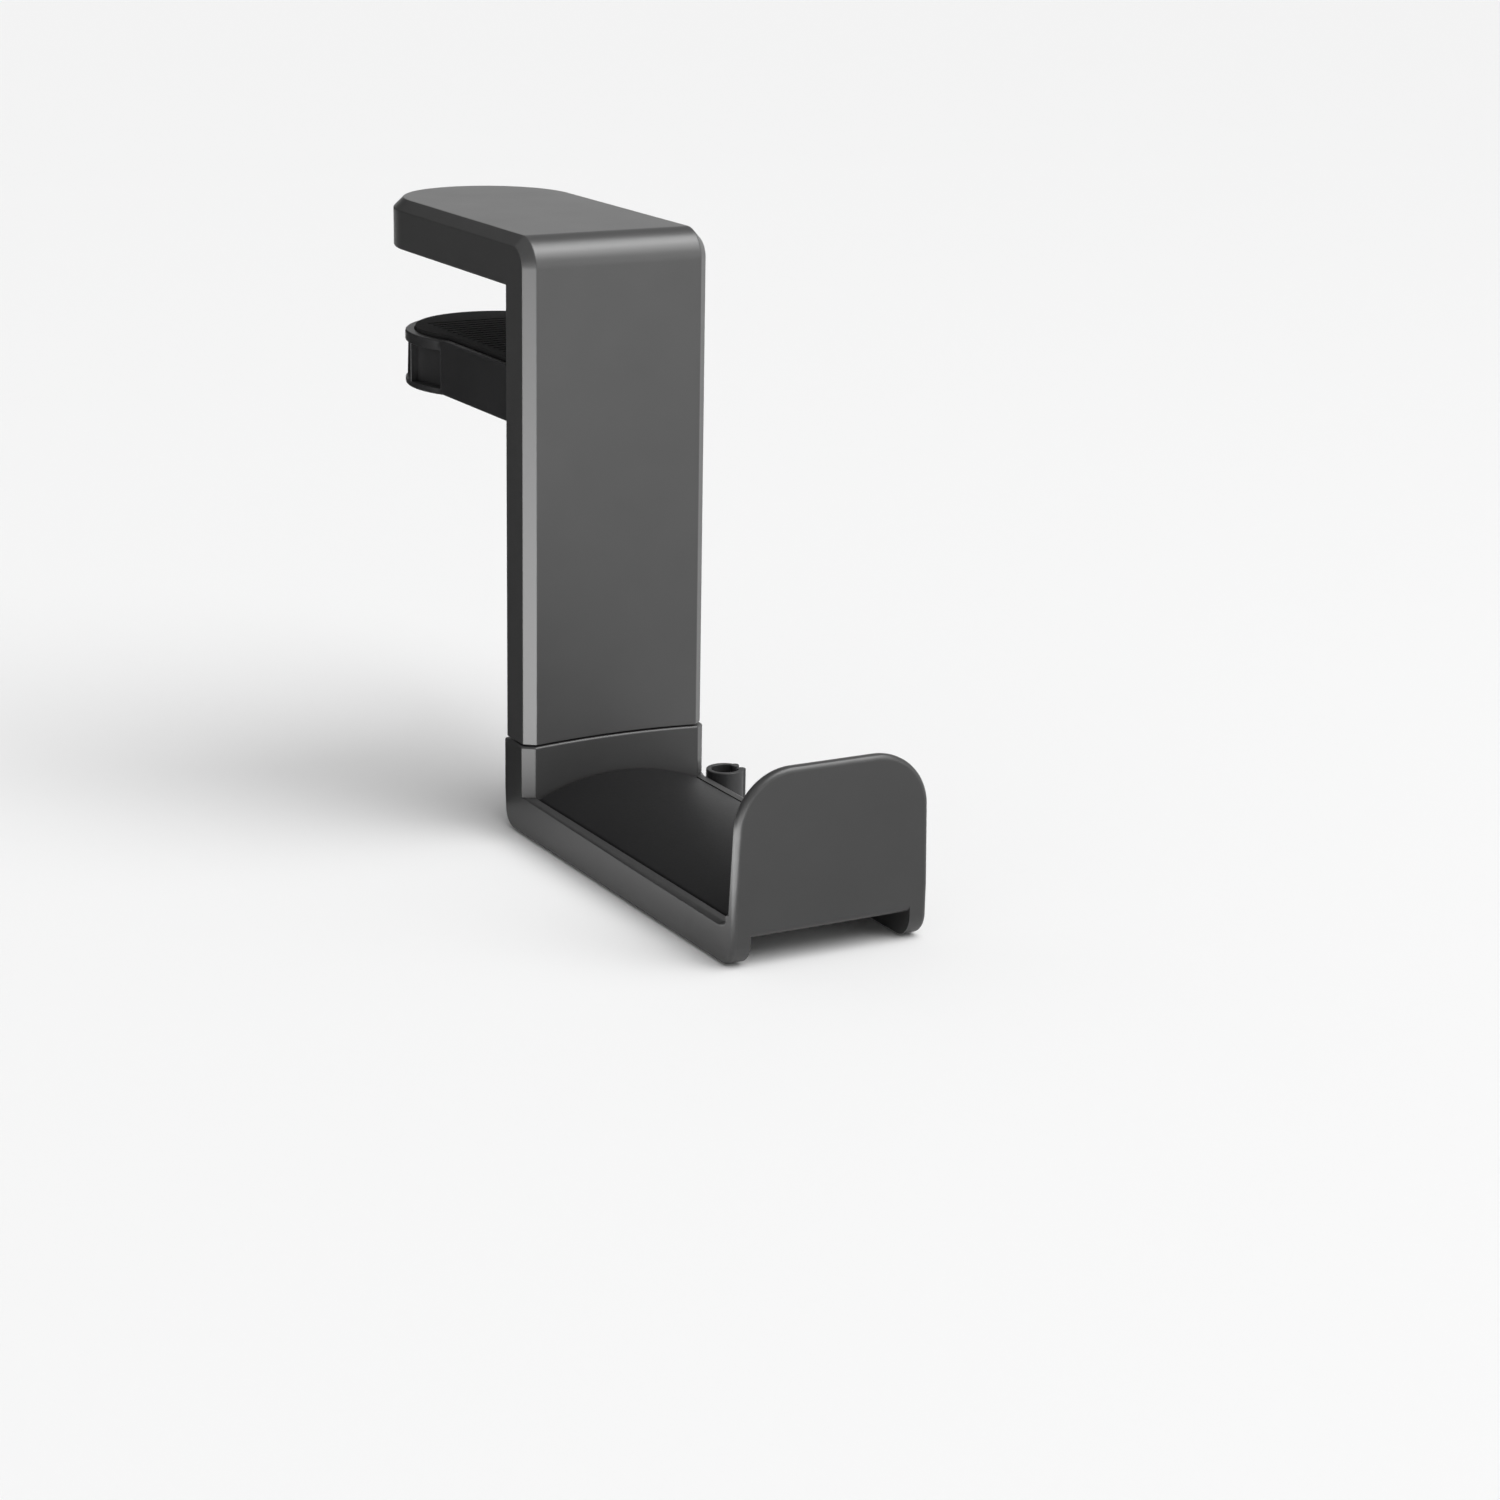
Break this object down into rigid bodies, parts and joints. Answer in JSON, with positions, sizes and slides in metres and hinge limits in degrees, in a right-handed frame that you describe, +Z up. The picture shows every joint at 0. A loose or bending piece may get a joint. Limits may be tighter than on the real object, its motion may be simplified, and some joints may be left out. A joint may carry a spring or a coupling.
{
  "type": "desk-clamp headphone hook",
  "caption": "Spring clamp that grips a desk edge and carries a swivelling channel-shaped hook with a rounded front stop and a side cable clip.",
  "frame": {"origin": "centre of the flat underside of the rubber pad that rests on the desk top, so the desk top is z = 0", "axes": "+Z up; +Y from the user into the desk, along the clamp arm; +X to the right as the user sees it"},
  "size_m": [0.0514, 0.1759, 0.1257],
  "materials": {
    "shell": "dark grey satin powder coat",
    "hook": "dark grey satin",
    "plastic": "black, lightly textured",
    "rubber": "black matt rubber",
    "saddle": "dark grey soft rubber",
    "steel": "zinc plated",
    "bronze": "plain bearing bronze"
  },
  "bodies": {
    "clamp": {"clamp_shell": "shell", "arm_plate": "plastic", "arm_plate_screw_1": "steel", "arm_plate_screw_2": "steel", "top_pad": "rubber", "rear_cover": "plastic", "cover_screw_1": "steel", "cover_screw_2": "steel", "cover_screw_3": "steel", "cover_screw_4": "steel", "cover_screw_5": "steel", "cover_screw_6": "steel", "base_block": "plastic", "guide_rod_left": "steel", "guide_rod_right": "steel", "jaw_spring_left": "steel", "jaw_spring_right": "steel", "pivot_bolt": "steel", "pivot_nut": "steel", "wave_washer": "steel"},
    "jaw": {"jaw_carriage": "plastic", "bush_left": "bronze", "bush_right": "bronze", "jaw_arm": "plastic", "jaw_pad": "rubber", "jaw_screw_1": "steel", "jaw_screw_2": "steel"},
    "hook": {"hook_frame": "hook", "saddle_pad": "saddle", "saddle_screw_1": "steel", "saddle_screw_2": "steel", "cable_clip": "plastic", "friction_disc": "plastic"}
  },
  "joints": [
    {"name": "jaw_slide", "type": "slide", "parent": "clamp", "child": "jaw", "axis": [0, 0, 1], "range_m": [-0.02, 0.0145], "stiffness_N_per_m": 600, "springref_m": 0.045, "deforming": ["jaw_spring_left", "jaw_spring_right"]},
    {"name": "hook_swivel", "type": "hinge", "parent": "clamp", "child": "hook", "pos_m": [0, -0.0419, -0.0946], "axis": [0, 0, 1], "continuous": true}
  ]
}
